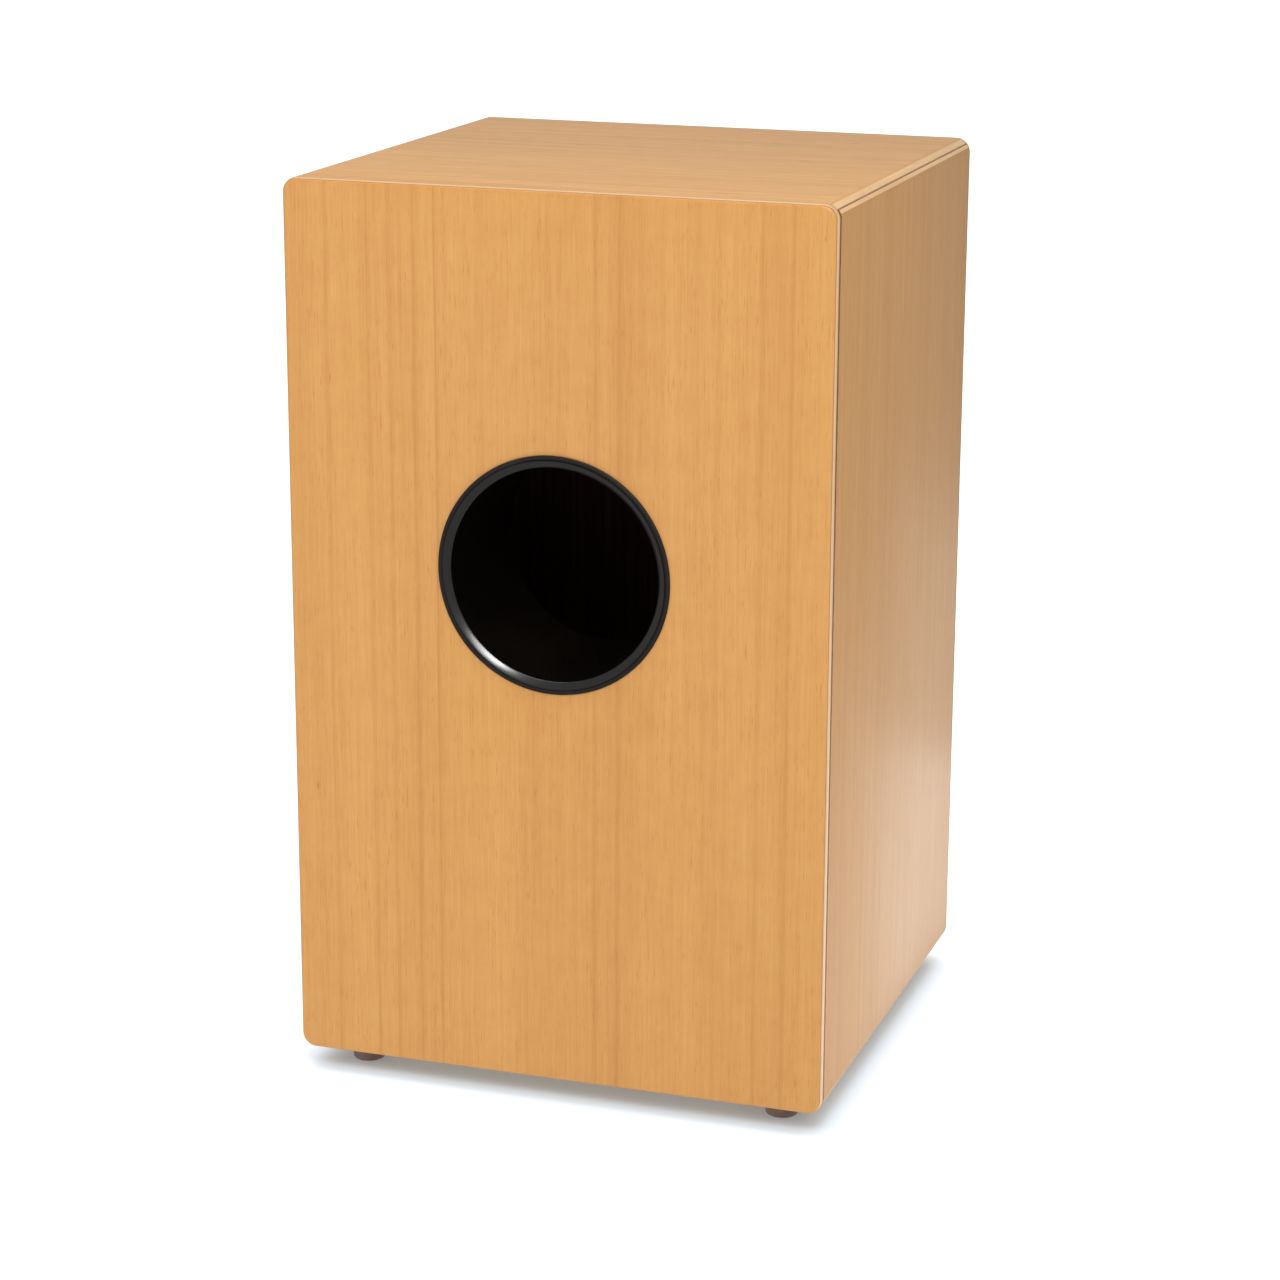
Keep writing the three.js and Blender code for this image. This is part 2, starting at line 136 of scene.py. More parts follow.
add_floor()
add_softbox("softbox_front", (-0.7, 1.9, 2.2), (0, 0.1, 0.25), (0.6, 0.9), 23.5)
add_softbox("softbox_left", (1.3, 1.9, 0.40), (0, 0.14, 0.1), (1.0, 0.6), 5, sheen=False)
add_softbox("softbox_above", (0.2, -0.1, 2.6), (0, 0, 0.3), (2.0, 2.0), 33)
add_softbox("softbox_low", (-0.75, -0.2, 0.04), (-0.15, -0.02, 0.04), (0.5, 0.07), 0.6)
add_softbox("softbox_sheen", (-0.30, -0.20, 0.003), (-0.30, -0.20, 1), (0.28, 0.7), 0.75, diffuse=False)
add_softbox("softbox_sheen_far", (-0.36, -0.60, 0.002), (-0.36, -0.60, 1), (0.42, 1.6), 1.35, diffuse=False)
add_softbox("softbox_spark", (-0.90, 1.74, 1.70), (0, 0.15, 0.3), (0.9, 0.9), 24, diffuse=False)
room = bpy.data.worlds.new("room")
room.use_nodes = True
room.node_tree.nodes["Background"].inputs["Color"].default_value = (*ROOM_TINT, 1)
room.node_tree.nodes["Background"].inputs["Strength"].default_value = ROOM_STRENGTH
bpy.context.scene.world = room

# ---- Top and bottom panels ------------------------------------------------------------------------
# 12 mm birch plywood under a pale veneer whose grain runs across the box. Rabbets at both ends leave a
# tongue over the sides; the long edges are rounded over after glueing, which lays the plies bare.
MM = 0.001
PANEL = 12 * MM
LAP = 3.2 * MM  # what the rabbet leaves of the panel's thickness
ROUND = 8 * MM
ROUND_STEPS = 16
VENEER = 0.6 * MM
GLUE = 0.55 * MM
EASE = 0.25 * MM  # every cut edge is broken with sandpaper
SHARP = radians(35)  # faces that meet at more than this have an edge between them
NEAR = 0.01 * MM  # closer than this to a plane counts as on it
BOX_WIDTH = 0.3
PALE_PLY = (0.84, 0.555, 0.28)
GLUE_LINE = (0.47, 0.22, 0.12)
SEAT_LIGHT = (0.74, 0.43, 0.185)
SEAT_DARK = (0.61, 0.315, 0.12)
SEAT_EDGE = (0.62, 0.33, 0.13)
# The inner face's colours: red-brown hardwood, painted darker still as the shade inside the box.
RAW_SHADED_LIGHT = (0.15, 0.07, 0.038)
RAW_SHADED_DARK = (0.085, 0.036, 0.019)
PORE_TINT = (0.86, 0.68, 0.52)
LINE_TINT = (0.62, 0.42, 0.25)
KNOT_TINT = (0.42, 0.17, 0.045)
KNOT_LENGTH = 2.6  # along the grain, over its width
SEAT_KNOTS = (  # place along and across the grain, and radius
    (-0.089, -0.011, 0.0012), (-0.095, -0.094, 0.0010), (-0.052, -0.083, 0.0009), (0.048, -0.035, 0.0008),
)
FLOOR_KNOTS = ((0.061, 0.042, 0.0014), (-0.024, -0.077, 0.0010))


def add_block(name, low, high):
    """A box between two corners."""
    bpy.ops.object.select_all(action="DESELECT")
    middle = [(a + b) / 2 for a, b in zip(low, high)]
    size = [b - a for a, b in zip(low, high)]
    bpy.ops.mesh.primitive_cube_add(size=1, location=middle, scale=size)
    piece = bpy.context.object
    piece.name = name
    bpy.ops.object.transform_apply(location=True, rotation=True, scale=True)
    return piece


def take(piece):
    """Selects this piece and nothing else."""
    bpy.ops.object.select_all(action="DESELECT")
    piece.select_set(True)
    bpy.context.view_layer.objects.active = piece


def pick(piece, kind, wanted):
    """Opens the piece in edit mode with only the wanted edges or faces selected."""
    take(piece)
    bpy.ops.object.mode_set(mode="EDIT")
    bpy.ops.mesh.select_mode(type=kind)
    bpy.ops.mesh.select_all(action="DESELECT")
    net = bmesh.from_edit_mesh(piece.data)
    for part in net.edges if kind == "EDGE" else net.faces:
        if wanted(part):
            part.select_set(True)
    bmesh.update_edit_mesh(piece.data)


def done():
    bpy.ops.object.mode_set(mode="OBJECT")


def runs_along(edge, axis):
    a, b = (v.co for v in edge.verts)
    return abs((b - a).normalized()[axis]) > 0.99


def middle_of(edge):
    a, b = (v.co for v in edge.verts)
    return (a + b) / 2


def round_edges(piece, wanted, radius, steps):
    """Rounds the wanted edges over."""
    pick(piece, "EDGE", wanted)
    bpy.ops.mesh.bevel(offset=radius, offset_type="OFFSET", segments=steps, profile=0.5)
    done()


def cut_away(piece, tools, operation="DIFFERENCE"):
    """Cuts the tools out of the piece (or joins them on), and throws them away."""
    bpy.context.view_layer.objects.active = piece
    for tool in tools:
        step = piece.modifiers.new("cut", "BOOLEAN")
        step.operation = operation
        step.object = tool
        step.solver = "EXACT"
        bpy.ops.object.modifier_apply(modifier=step.name)
        bpy.data.objects.remove(tool)


def ease_edges(piece, width=EASE, segments=2):
    """Breaks all sharp edges, and shades the rounds smooth."""
    take(piece)
    step = piece.modifiers.new("ease", "BEVEL")
    step.width = width
    step.segments = segments
    step.limit_method = "ANGLE"
    step.angle_limit = SHARP
    bpy.ops.object.modifier_apply(modifier=step.name)
    bpy.ops.object.shade_smooth_by_angle(angle=SHARP)


def add_rod(name, start, end, radius, sides=32):
    """A plain round bar between two points, for drilling with."""
    bpy.ops.object.select_all(action="DESELECT")
    run = Vector(end) - Vector(start)
    middle = (Vector(end) + Vector(start)) / 2
    angles = run.to_track_quat("Z", "Y").to_euler()
    bpy.ops.mesh.primitive_cylinder_add(
        vertices=sides, radius=radius, depth=run.length, location=middle, rotation=angles
    )
    rod = bpy.context.object
    rod.name = name
    bpy.ops.object.transform_apply(location=True, rotation=True, scale=True)
    return rod


class Nodes:
    """Short names for building one material's nodes. A value may be a number or another node's output."""

    def __init__(self, name):
        self.material = bpy.data.materials.new(name)
        self.material.use_nodes = True
        self.tree = self.material.node_tree
        self.shader = self.tree.nodes["Principled BSDF"]
        self.place = self.tree.nodes.new("ShaderNodeTexCoord").outputs["Object"]

    def link(self, source, socket):
        if hasattr(source, "links"):
            self.tree.links.new(source, socket)
        else:
            socket.default_value = source

    def math(self, operation, a, b=0.0, c=0.0):
        node = self.tree.nodes.new("ShaderNodeMath")
        node.operation = operation
        for value, socket in zip((a, b, c), node.inputs):
            self.link(value, socket)
        return node.outputs[0]

    def split(self, vector):
        node = self.tree.nodes.new("ShaderNodeSeparateXYZ")
        self.link(vector, node.inputs[0])
        return node.outputs

    def stretched(self, vector, scale, shift=(0, 0, 0)):
        node = self.tree.nodes.new("ShaderNodeMapping")
        node.inputs["Scale"].default_value = scale
        node.inputs["Location"].default_value = shift
        self.link(vector, node.inputs["Vector"])
        return node.outputs[0]

    def noise(self, vector, scale=1.0, detail=2.0, roughness=0.5):
        node = self.tree.nodes.new("ShaderNodeTexNoise")
        node.inputs["Scale"].default_value = scale
        node.inputs["Detail"].default_value = detail
        node.inputs["Roughness"].default_value = roughness
        self.link(vector, node.inputs["Vector"])
        return node.outputs

    def ramp(self, value, stops):
        node = self.tree.nodes.new("ShaderNodeValToRGB")
        band = node.color_ramp
        while len(band.elements) < len(stops):
            band.elements.new(0.5)
        for element, (place, tone) in zip(band.elements, stops):
            element.position = place
            colour = (tone, tone, tone) if isinstance(tone, (int, float)) else tone
            element.color = (*colour, 1)
        self.link(value, node.inputs[0])
        return node.outputs[0]

    def mix(self, amount, a, b, blend="MIX"):
        node = self.tree.nodes.new("ShaderNodeMix")
        node.data_type = "RGBA"
        node.blend_type = blend
        self.link(amount, node.inputs[0])
        for value, socket in ((a, node.inputs[6]), (b, node.inputs[7])):
            self.link(value if hasattr(value, "links") else (*value, 1), socket)
        return node.outputs[2]

    def bump(self, height, strength, distance):
        node = self.tree.nodes.new("ShaderNodeBump")
        node.inputs["Strength"].default_value = strength
        node.inputs["Distance"].default_value = distance
        self.link(height, node.inputs["Height"])
        self.link(node.outputs[0], self.shader.inputs["Normal"])


def grain_scale(along, fine, long):
    """Noise scale per metre: fine across the grain, long along it."""
    return tuple(long if axis == along else fine for axis in range(3))


def knot_marks(n, place, plane, knots):
    """Pin knots: how dark each spot is, and how far the grain bends round it."""
    parts = n.split(place)
    dark, bend = 0.0, 0.0
    for u, v, radius in knots:
        du = n.math("SUBTRACT", parts[plane[0]], u)
        dv = n.math("SUBTRACT", parts[plane[1]], v)
        across = n.math("DIVIDE", dv, radius)
        along = n.math("DIVIDE", du, radius * KNOT_LENGTH)
        square = n.math("MULTIPLY_ADD", across, across, n.math("MULTIPLY", along, along))
        spot = n.math("DIVIDE", 1.0, n.math("MULTIPLY_ADD", square, square, 1.0))
        halo = n.math("DIVIDE", radius * 0.9, n.math("MULTIPLY_ADD", square, 0.10, 1.0))
        dark = n.math("ADD", spot, dark)
        bend = n.math("MULTIPLY_ADD", halo, n.math("SIGN", dv), bend)
    return dark, bend


def wood_figure(
    n, along, shift, light, dark, lines=(), sway=12 * MM, contrast=(0.55, 0.55, 0.2), knots=()
):
    """Veneer colour and relief: slow bands, growth lines, fibres and pores, all drawn out along the grain."""
    place = n.stretched(n.place, (1, 1, 1), shift)
    wander = n.noise(n.stretched(place, grain_scale(along, 14, 1.6)), detail=1)[1]
    drift = n.tree.nodes.new("ShaderNodeVectorMath")
    drift.operation = "MULTIPLY_ADD"
    n.link(wander, drift.inputs[0])
    drift.inputs[1].default_value = (sway, sway, sway)
    n.link(place, drift.inputs[2])
    swayed = drift.outputs[0]
    spots = None
    if knots:
        plane = (0, 1) if along == 0 else (2, 0)
        spots, bend = knot_marks(n, n.place, plane, knots)
        push = n.tree.nodes.new("ShaderNodeCombineXYZ")
        n.link(bend, push.inputs[plane[1]])
        moved = n.tree.nodes.new("ShaderNodeVectorMath")
        n.link(swayed, moved.inputs[0])
        n.link(push.outputs[0], moved.inputs[1])
        swayed = moved.outputs[0]
    broad = n.noise(n.stretched(swayed, grain_scale(along, 30, 0.9)), detail=2)[0]
    growth = n.noise(n.stretched(swayed, grain_scale(along, 330, 3.5)), detail=3, roughness=0.6)[0]
    fibres = n.noise(n.stretched(swayed, grain_scale(along, 1500, 28)), detail=2, roughness=0.6)[0]
    pores = n.noise(n.stretched(swayed, grain_scale(along, 2100, 110)), detail=1)[0]
    mottle = n.noise(place, scale=70, detail=3, roughness=0.6)[0]
    tone = 0.5 - sum(contrast) / 2
    for layer, weight in zip((broad, growth, mottle), contrast):
        tone = n.math("MULTIPLY_ADD", layer, weight, tone)
    colour = n.mix(n.ramp(tone, [(0.28, 0), (0.68, 1)]), dark, light)
    streak = n.ramp(fibres, [(0.30, (0.95, 0.90, 0.84)), (0.55, 1.0), (0.8, 1.03)])
    colour = n.mix(1.0, colour, streak, "MULTIPLY")
    pore = n.ramp(pores, [(0.25, 0.0), (0.36, 1.0)])
    colour = n.mix(0.8, colour, n.mix(pore, PORE_TINT, (1, 1, 1)), "MULTIPLY")
    if lines:
        stops = [(0.0, 1.0)]
        for middle, half, tone_there in lines:
            stops += [(middle - half, 1.0), (middle, tone_there), (middle + half * 0.6, 1.0)]
        across = n.math("MULTIPLY_ADD", n.split(swayed)[0], 1 / BOX_WIDTH, 0.5)
        shade = n.ramp(across, stops)
        flicker = n.noise(n.stretched(place, grain_scale(along, 90, 7)), detail=2)[0]
        depth = n.math("MULTIPLY_ADD", flicker, 1.2, 0.3)
        colour = n.mix(depth, colour, n.mix(shade, LINE_TINT, (1, 1, 1)), "MULTIPLY")
    if spots:
        colour = n.mix(n.math("MULTIPLY", spots, 0.6), colour, KNOT_TINT)
    relief = n.math("ADD", n.math("MULTIPLY", fibres, 0.4), n.math("MULTIPLY", pore, 0.6))
    return colour, relief


def ply_edge(n, along):
    """The pale crossbands of the plywood, where an edge lays them bare."""
    fleck = n.noise(n.stretched(n.place, grain_scale(along, 900, 60)), detail=3, roughness=0.65)[0]
    soft = n.noise(n.stretched(n.place, grain_scale(along, 200, 12)), detail=2)[0]
    tone = n.math("MULTIPLY_ADD", fleck, 0.5, n.math("MULTIPLY", soft, 0.5))
    darker = tuple(part * 0.86 for part in PALE_PLY)
    return n.mix(n.ramp(tone, [(0.35, 0), (0.62, 1)]), darker, PALE_PLY)


def raw_back_and_painted_shade(n, along):
    """The plywood's unvarnished inner face: a coarse red-brown hardwood, painted darker than it is as the
    shade inside the box.
    """
    streak = n.noise(n.stretched(n.place, grain_scale(along, 420, 6)), detail=3, roughness=0.6)[0]
    return n.mix(n.ramp(streak, [(0.35, 0), (0.65, 1)]), RAW_SHADED_DARK, RAW_SHADED_LIGHT)


def layered(n, depth, layers, colours):
    """Picks a colour by depth below the face: each layer runs down to its own depth."""
    blur = 0.06 * MM
    picked = colours[0]
    for bottom, colour in zip(layers, colours[1:]):
        past = n.math("MULTIPLY_ADD", depth, 1 / blur, -bottom / blur)
        inside = n.tree.nodes.new("ShaderNodeClamp")
        n.link(past, inside.inputs[0])
        picked = n.mix(inside.outputs[0], picked, colour)
    return picked


def varnish(n, colour, relief, roughness=0.42, coat=0.08, gloss=0.3):
    """A thin satin varnish over open-pored wood."""
    n.link(colour, n.shader.inputs["Base Color"])
    smear = n.noise(n.stretched(n.place, (9, 9, 9)), detail=3)[0]
    spread = n.math("MULTIPLY_ADD", smear, 0.14, roughness - 0.07)
    n.link(spread, n.shader.inputs["Roughness"])
    n.shader.inputs["Specular IOR Level"].default_value = gloss
    n.shader.inputs["Coat Weight"].default_value = coat
    n.shader.inputs["Coat Roughness"].default_value = 0.3
    n.bump(relief, 0.35, 0.04 * MM)


def seat_material(name, outer_z, inwards, shift, knots):
    """Veneer on the face, and below it the plies that the rounded edges and the rabbets lay bare."""
    n = Nodes(name)
    face, relief = wood_figure(
        n, 0, shift, SEAT_LIGHT, SEAT_DARK, sway=16 * MM, contrast=(0.25, 0.95, 0.2), knots=knots
    )
    depth = n.math("MULTIPLY_ADD", n.split(n.place)[2], inwards, -inwards * outer_z)
    ply = ply_edge(n, 1)
    warm = n.mix(0.6, face, SEAT_EDGE)
    layers = (0.25 * MM, VENEER, LAP - GLUE, LAP + 0.2 * MM, PANEL - VENEER)
    colour = layered(n, depth, layers, (face, warm, ply, GLUE_LINE, ply, raw_back_and_painted_shade(n, 0)))
    varnish(n, colour, relief)
    return n.material


def cut_lid(name, node, up):
    """A rabbeted panel with its two long outer edges rounded; up is 1 for the seat, -1 for the floor."""
    low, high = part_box(node)
    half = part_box("back_panel")[1].x
    outer = high.z if up > 0 else low.z
    inner = outer - up * PANEL
    lid = add_block(name, (-half, low.y, min(outer, inner)), (half, high.y, max(outer, inner)))
    at_face = lambda e: runs_along(e, 1) and abs(middle_of(e).z - outer) < NEAR
    round_edges(lid, at_face, ROUND, ROUND_STEPS)
    tools = []
    for side in (-1, 1):
        x0, x1 = sorted((side * (half - PANEL), side * 2 * half))
        z0, z1 = sorted((outer - up * LAP, inner - up * MM))
        tools.append(add_block("rabbet", (x0, low.y - MM, z0), (x1, high.y + MM, z1)))
    cut_away(lid, tools)
    return lid, outer


seat, seat_z = cut_lid("seat_panel", "top_panel", 1)
ease_edges(seat)
seat.data.materials.append(seat_material("seat_veneer", seat_z, -1, (0.31, 0.12, 0.4), SEAT_KNOTS))
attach(seat, "box")
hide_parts("top_panel")

base, base_z = cut_lid("floor_panel", "bottom_panel", -1)
ease_edges(base)
base.data.materials.append(seat_material("floor_veneer", base_z, 1, (0.77, 0.5, 0.9), FLOOR_KNOTS))
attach(base, "box")
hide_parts("bottom_panel")

# ---- Side panels ----------------------------------------------------------------------------------
# The same plywood with upright grain. Each side is glued between the tongues of the top and bottom
# panels and is rounded with them, so that the brown glue line runs along the round.
# Darker than the seat's veneer of the same plywood: partly the wood's own tone, partly painted shade on the
# sides.
SIDE_SHADED_LIGHT = (0.56, 0.293, 0.106)
SIDE_SHADED_DARK = (0.49, 0.247, 0.085)
SIDE_VENEER = 0.45 * MM
JOINT = 2 * MM  # the glue line at the back panel
SEAM = 0.1 * MM
SEAM_DARK = (0.19, 0.09, 0.038)


def side_material(name, half, joints, back_joint, shift):
    """Upright veneer, with glue lines where the side meets the tongues and the back panel."""
    n = Nodes(name)
    face, relief = wood_figure(n, 2, shift, SIDE_SHADED_LIGHT, SIDE_SHADED_DARK, sway=6 * MM, contrast=(0.35, 0.7, 0.15))
    x, y, z = n.split(n.place)
    depth = n.math("SUBTRACT", half, n.math("ABSOLUTE", x))
    ply = ply_edge(n, 1)
    colour = layered(n, depth, (SIDE_VENEER,), (face, ply))
    inner = n.math("GREATER_THAN", depth, PANEL - VENEER)
    colour = n.mix(inner, colour, raw_back_and_painted_shade(n, 2))
    low_joint, high_joint = joints
    from_end = n.math("MINIMUM", n.math("SUBTRACT", z, low_joint), n.math("SUBTRACT", high_joint, z))
    at_joint = n.math("LESS_THAN", from_end, 0.3 * MM)
    colour = n.mix(at_joint, colour, GLUE_LINE)
    ragged = n.noise(n.stretched(n.place, (0, 0, 90)), detail=3, roughness=0.7)[0]
    joint_y = n.math("MULTIPLY_ADD", ragged, -1.6 * JOINT, back_joint - 0.2 * JOINT)
    colour = n.mix(n.math("GREATER_THAN", y, joint_y), colour, SEAM_DARK)
    varnish(n, colour, relief, roughness=0.38, coat=0, gloss=0.14)
    return n.material


for name, node, side in (("left_side", "left_side_panel", -1), ("right_side", "right_side_panel", 1)):
    low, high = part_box(node)
    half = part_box("back_panel")[1].x
    outer_x, inner_x = side * half, side * (half - PANEL)
    panel = add_block(name, (min(outer_x, inner_x), low.y, base_z), (max(outer_x, inner_x), high.y, seat_z))
    at_face = lambda e: runs_along(e, 1) and abs(middle_of(e).x - outer_x) < NEAR
    round_edges(panel, at_face, ROUND, ROUND_STEPS)
    bpy.ops.object.mode_set(mode="EDIT")
    for height, way in ((seat_z - LAP - SEAM, 1), (base_z + LAP + SEAM, -1)):
        bpy.ops.mesh.select_all(action="SELECT")
        bpy.ops.mesh.bisect(plane_co=(0, 0, height), plane_no=(0, 0, way), use_fill=True, clear_outer=True)
    done()
    ease_edges(panel)
    joints = (base_z + LAP, seat_z - LAP)
    shift = (0.9, 0.2 + 0.3 * side, 0.15)
    panel.data.materials.append(side_material(name + "_veneer", half, joints, high.y, shift))
    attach(panel, "box")
    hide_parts(node)

# ---- Back panel -----------------------------------------------------------------------------------
# 5 mm plywood, glued on flush with the shell and bored for the sound port. Its corners follow the shell's
# rounds, and its outer edge is rounded over after glueing.
BACK = 5 * MM
BACK_EASED = 2.8 * MM
BACK_LIGHT = (0.70, 0.345, 0.098)
BACK_DARK = (0.60, 0.272, 0.068)
BACK_FACE_VENEER = 0.8 * MM
BACK_PLY = (0.72, 0.38, 0.14)
BACK_GLUE = (0.30, 0.14, 0.06)
BACK_LINES = (  # darker growth lines, full height: place across the panel, half width, tone
    (0.08, 0.006, 0.72), (0.133, 0.008, 0.80), (0.21, 0.012, 0.88), (0.387, 0.008, 0.76),
    (0.43, 0.007, 0.78), (0.723, 0.006, 0.66), (0.762, 0.008, 0.68), (0.807, 0.007, 0.75),
    (0.847, 0.007, 0.78), (0.925, 0.006, 0.75),
)
BACK_KNOTS = ((0.167, 0.1365, 0.0008), (0.481, -0.1440, 0.0004))
PORT_OUTER = 60.5 * MM
PORT_BORE = PORT_OUTER + 0.4 * MM
back_low, back_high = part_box("back_panel")


def centre_of(node):
    low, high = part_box(node)
    return (low + high) / 2


def back_material():
    """Straight-grained veneer with a few darker growth lines, and the plies that the round lays bare."""
    n = Nodes("back_veneer")
    face, relief = wood_figure(
        n, 2, (0, 0, 0), BACK_LIGHT, BACK_DARK, BACK_LINES,
        sway=3.5 * MM, contrast=(0.5, 0.36, 0.3), knots=BACK_KNOTS,
    )
    depth = n.math("SUBTRACT", back_high.y, n.split(n.place)[1])
    ply = n.mix(0.5, ply_edge(n, 0), BACK_PLY)
    brown = n.mix(0.5, GLUE_LINE, BACK_GLUE)
    layers = (BACK_FACE_VENEER, BACK_FACE_VENEER + 0.35 * MM, BACK - 1.0 * MM, BACK - 0.1 * MM)
    colour = layered(n, depth, layers, (face, brown, ply, brown, raw_back_and_painted_shade(n, 2)))
    varnish(n, colour, relief)
    return n.material


def face_blank(name, node, outer_y, eased):
    """A flat panel with rounded corners, and its outer edge eased."""
    low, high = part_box(node)
    blank = add_block(name, low, high)
    round_edges(blank, lambda e: runs_along(e, 1), ROUND, ROUND_STEPS)
    round_edges(blank, lambda e: all(abs(v.co.y - outer_y) < NEAR for v in e.verts), eased, 6)
    return blank


back = face_blank("back", "back_panel", back_high.y, BACK_EASED)
port_z = centre_of("sound_port").z
drill_in, drill_out = (0, back_low.y - MM, port_z), (0, back_high.y + MM, port_z)
cut_away(back, [add_rod("bore", drill_in, drill_out, PORT_BORE, 128)])
ease_edges(back)
back.data.materials.append(back_material())
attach(back, "box")
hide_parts("back_panel")

# ---- Playing panel --------------------------------------------------------------------------------
# 3 mm plywood with a lively pale figured face, which sounds when it is struck. It is held by 18
# countersunk screws round its edge, into the ends of the shell's panels.
TAPA = 3 * MM
TAPA_EASED = 1.8 * MM
TAPA_LIGHT = (0.80, 0.53, 0.25)
TAPA_DARK = (0.56, 0.29, 0.10)
SCREW_HEAD = 3.8 * MM
SCREW_SINK = 1.9 * MM
SCREW_HOLE = 2.05 * MM
RINGS = 26.0  # growth rings that the slanting cut meets in a metre
tapa_face_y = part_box("playing_panel")[0].y


def own_copy(blank, name, move):
    """A copy of a blank, with a mesh of its own that is moved into place."""
    piece = blank.copy()
    piece.data = blank.data.copy()
    piece.name = name
    bpy.context.scene.collection.objects.link(piece)
    piece.data.transform(move)
    return piece


tapa_screws = sorted(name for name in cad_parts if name.startswith("playing_panel_screw_"))
tapa = face_blank("tapa", "playing_panel", tapa_face_y, TAPA_EASED)
bpy.ops.object.select_all(action="DESELECT")
bpy.ops.mesh.primitive_cone_add(
    vertices=32, radius1=SCREW_HOLE, radius2=SCREW_HEAD + 0.1 * MM, depth=SCREW_SINK, rotation=(pi / 2, 0, 0)
)
drill = bpy.context.object
bpy.ops.object.transform_apply(location=True, rotation=True, scale=True)
for end in (-1, 1):
    pick(drill, "FACE", lambda f: f.normal.y * end > 0.9)
    bpy.ops.mesh.extrude_region_move(TRANSFORM_OT_translate={"value": (0, end * 2 * MM, 0)})
    done()
for name in tapa_screws:
    middle = centre_of(name)
    sunk = Matrix.Translation((middle.x, tapa_face_y + SCREW_SINK / 2, middle.z))
    cut_away(tapa, [own_copy(drill, "bit", sunk)])
bpy.data.objects.remove(drill)
ease_edges(tapa, 0.12 * MM, 1)


def tapa_material():
    """Growth rings cut at a shallow slant: tall pointed arches stand down the middle of the sheet."""
    n = Nodes("tapa_veneer")
    place = n.stretched(n.place, (1, 1, 1), (0.013, 0, -0.22))
    sway = n.noise(n.stretched(place, (7, 7, 2.4)), detail=2, roughness=0.4)[0]
    x, _, z = n.split(place)
    hill = n.math("MULTIPLY", n.math("MULTIPLY", x, x), 46.0)
    slant = n.math("MULTIPLY_ADD", z, 0.62, hill)
    slant = n.math("MULTIPLY_ADD", sway, 0.55, slant)
    ring = n.math("FRACT", n.math("MULTIPLY", slant, RINGS))
    late = n.ramp(ring, [(0.0, 0.62), (0.10, 0.86), (0.55, 1.0), (0.9, 0.93), (1.0, 0.62)])
    colour, relief = wood_figure(n, 2, (0.4, 0.3, 0.7), TAPA_LIGHT, TAPA_DARK)
    colour = n.mix(0.55, colour, late, "MULTIPLY")
    depth = n.math("SUBTRACT", n.split(n.place)[1], tapa_face_y)
    ply = ply_edge(n, 0)
    dark = n.mix(0.35, (0.16, 0.075, 0.035), ply)
    layers = (VENEER, VENEER + 0.25 * MM, TAPA - 0.5 * MM, TAPA - 0.2 * MM)
    colour = layered(n, depth, layers, (colour, GLUE_LINE, ply, dark, raw_back_and_painted_shade(n, 2)))
    varnish(n, colour, relief)
    return n.material


tapa.data.materials.append(tapa_material())
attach(tapa, "box")
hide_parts("playing_panel")

# ---- Screws ---------------------------------------------------------------------------------------
# Cross-head wood screws, each turned in to its own angle: blacked steel round the playing panel, and
# zinc-plated steel for the feet, the snare bar's end blocks and the snares.
THREAD_PITCH = 1.3 * MM
GOLDEN = 2.39996  # the golden angle: no two screws come to rest alike
FOOT_HEAD_DOME = 2 * MM


def turned(name, outline, steps):
    """A turned piece on the Z axis: the outline (radius, height) is drawn out and spun."""
    bpy.ops.object.select_all(action="DESELECT")
    bpy.ops.mesh.primitive_plane_add(size=MM)
    piece = bpy.context.object
    piece.name = name
    bpy.ops.object.mode_set(mode="EDIT")
    bpy.ops.mesh.select_mode(type="VERT")
    bpy.ops.mesh.select_all(action="SELECT")
    bpy.ops.mesh.merge(type="CENTER")
    radius, height = outline[0]
    bpy.ops.transform.translate(value=(radius, 0, height))
    for next_radius, next_height in outline[1:]:
        step = (next_radius - radius, 0, next_height - height)
        bpy.ops.mesh.extrude_region_move(TRANSFORM_OT_translate={"value": step})
        radius, height = next_radius, next_height
    bpy.ops.mesh.select_all(action="SELECT")
    bpy.ops.mesh.spin(steps=steps, angle=2 * pi, center=(0, 0, 0), axis=(0, 0, 1))
    bpy.ops.mesh.select_all(action="SELECT")
    bpy.ops.mesh.remove_doubles(threshold=0.001 * MM)
    bpy.ops.mesh.normals_make_consistent(inside=False)
    bpy.ops.object.mode_set(mode="OBJECT")
    bpy.ops.object.shade_smooth_by_angle(angle=SHARP)
    return piece


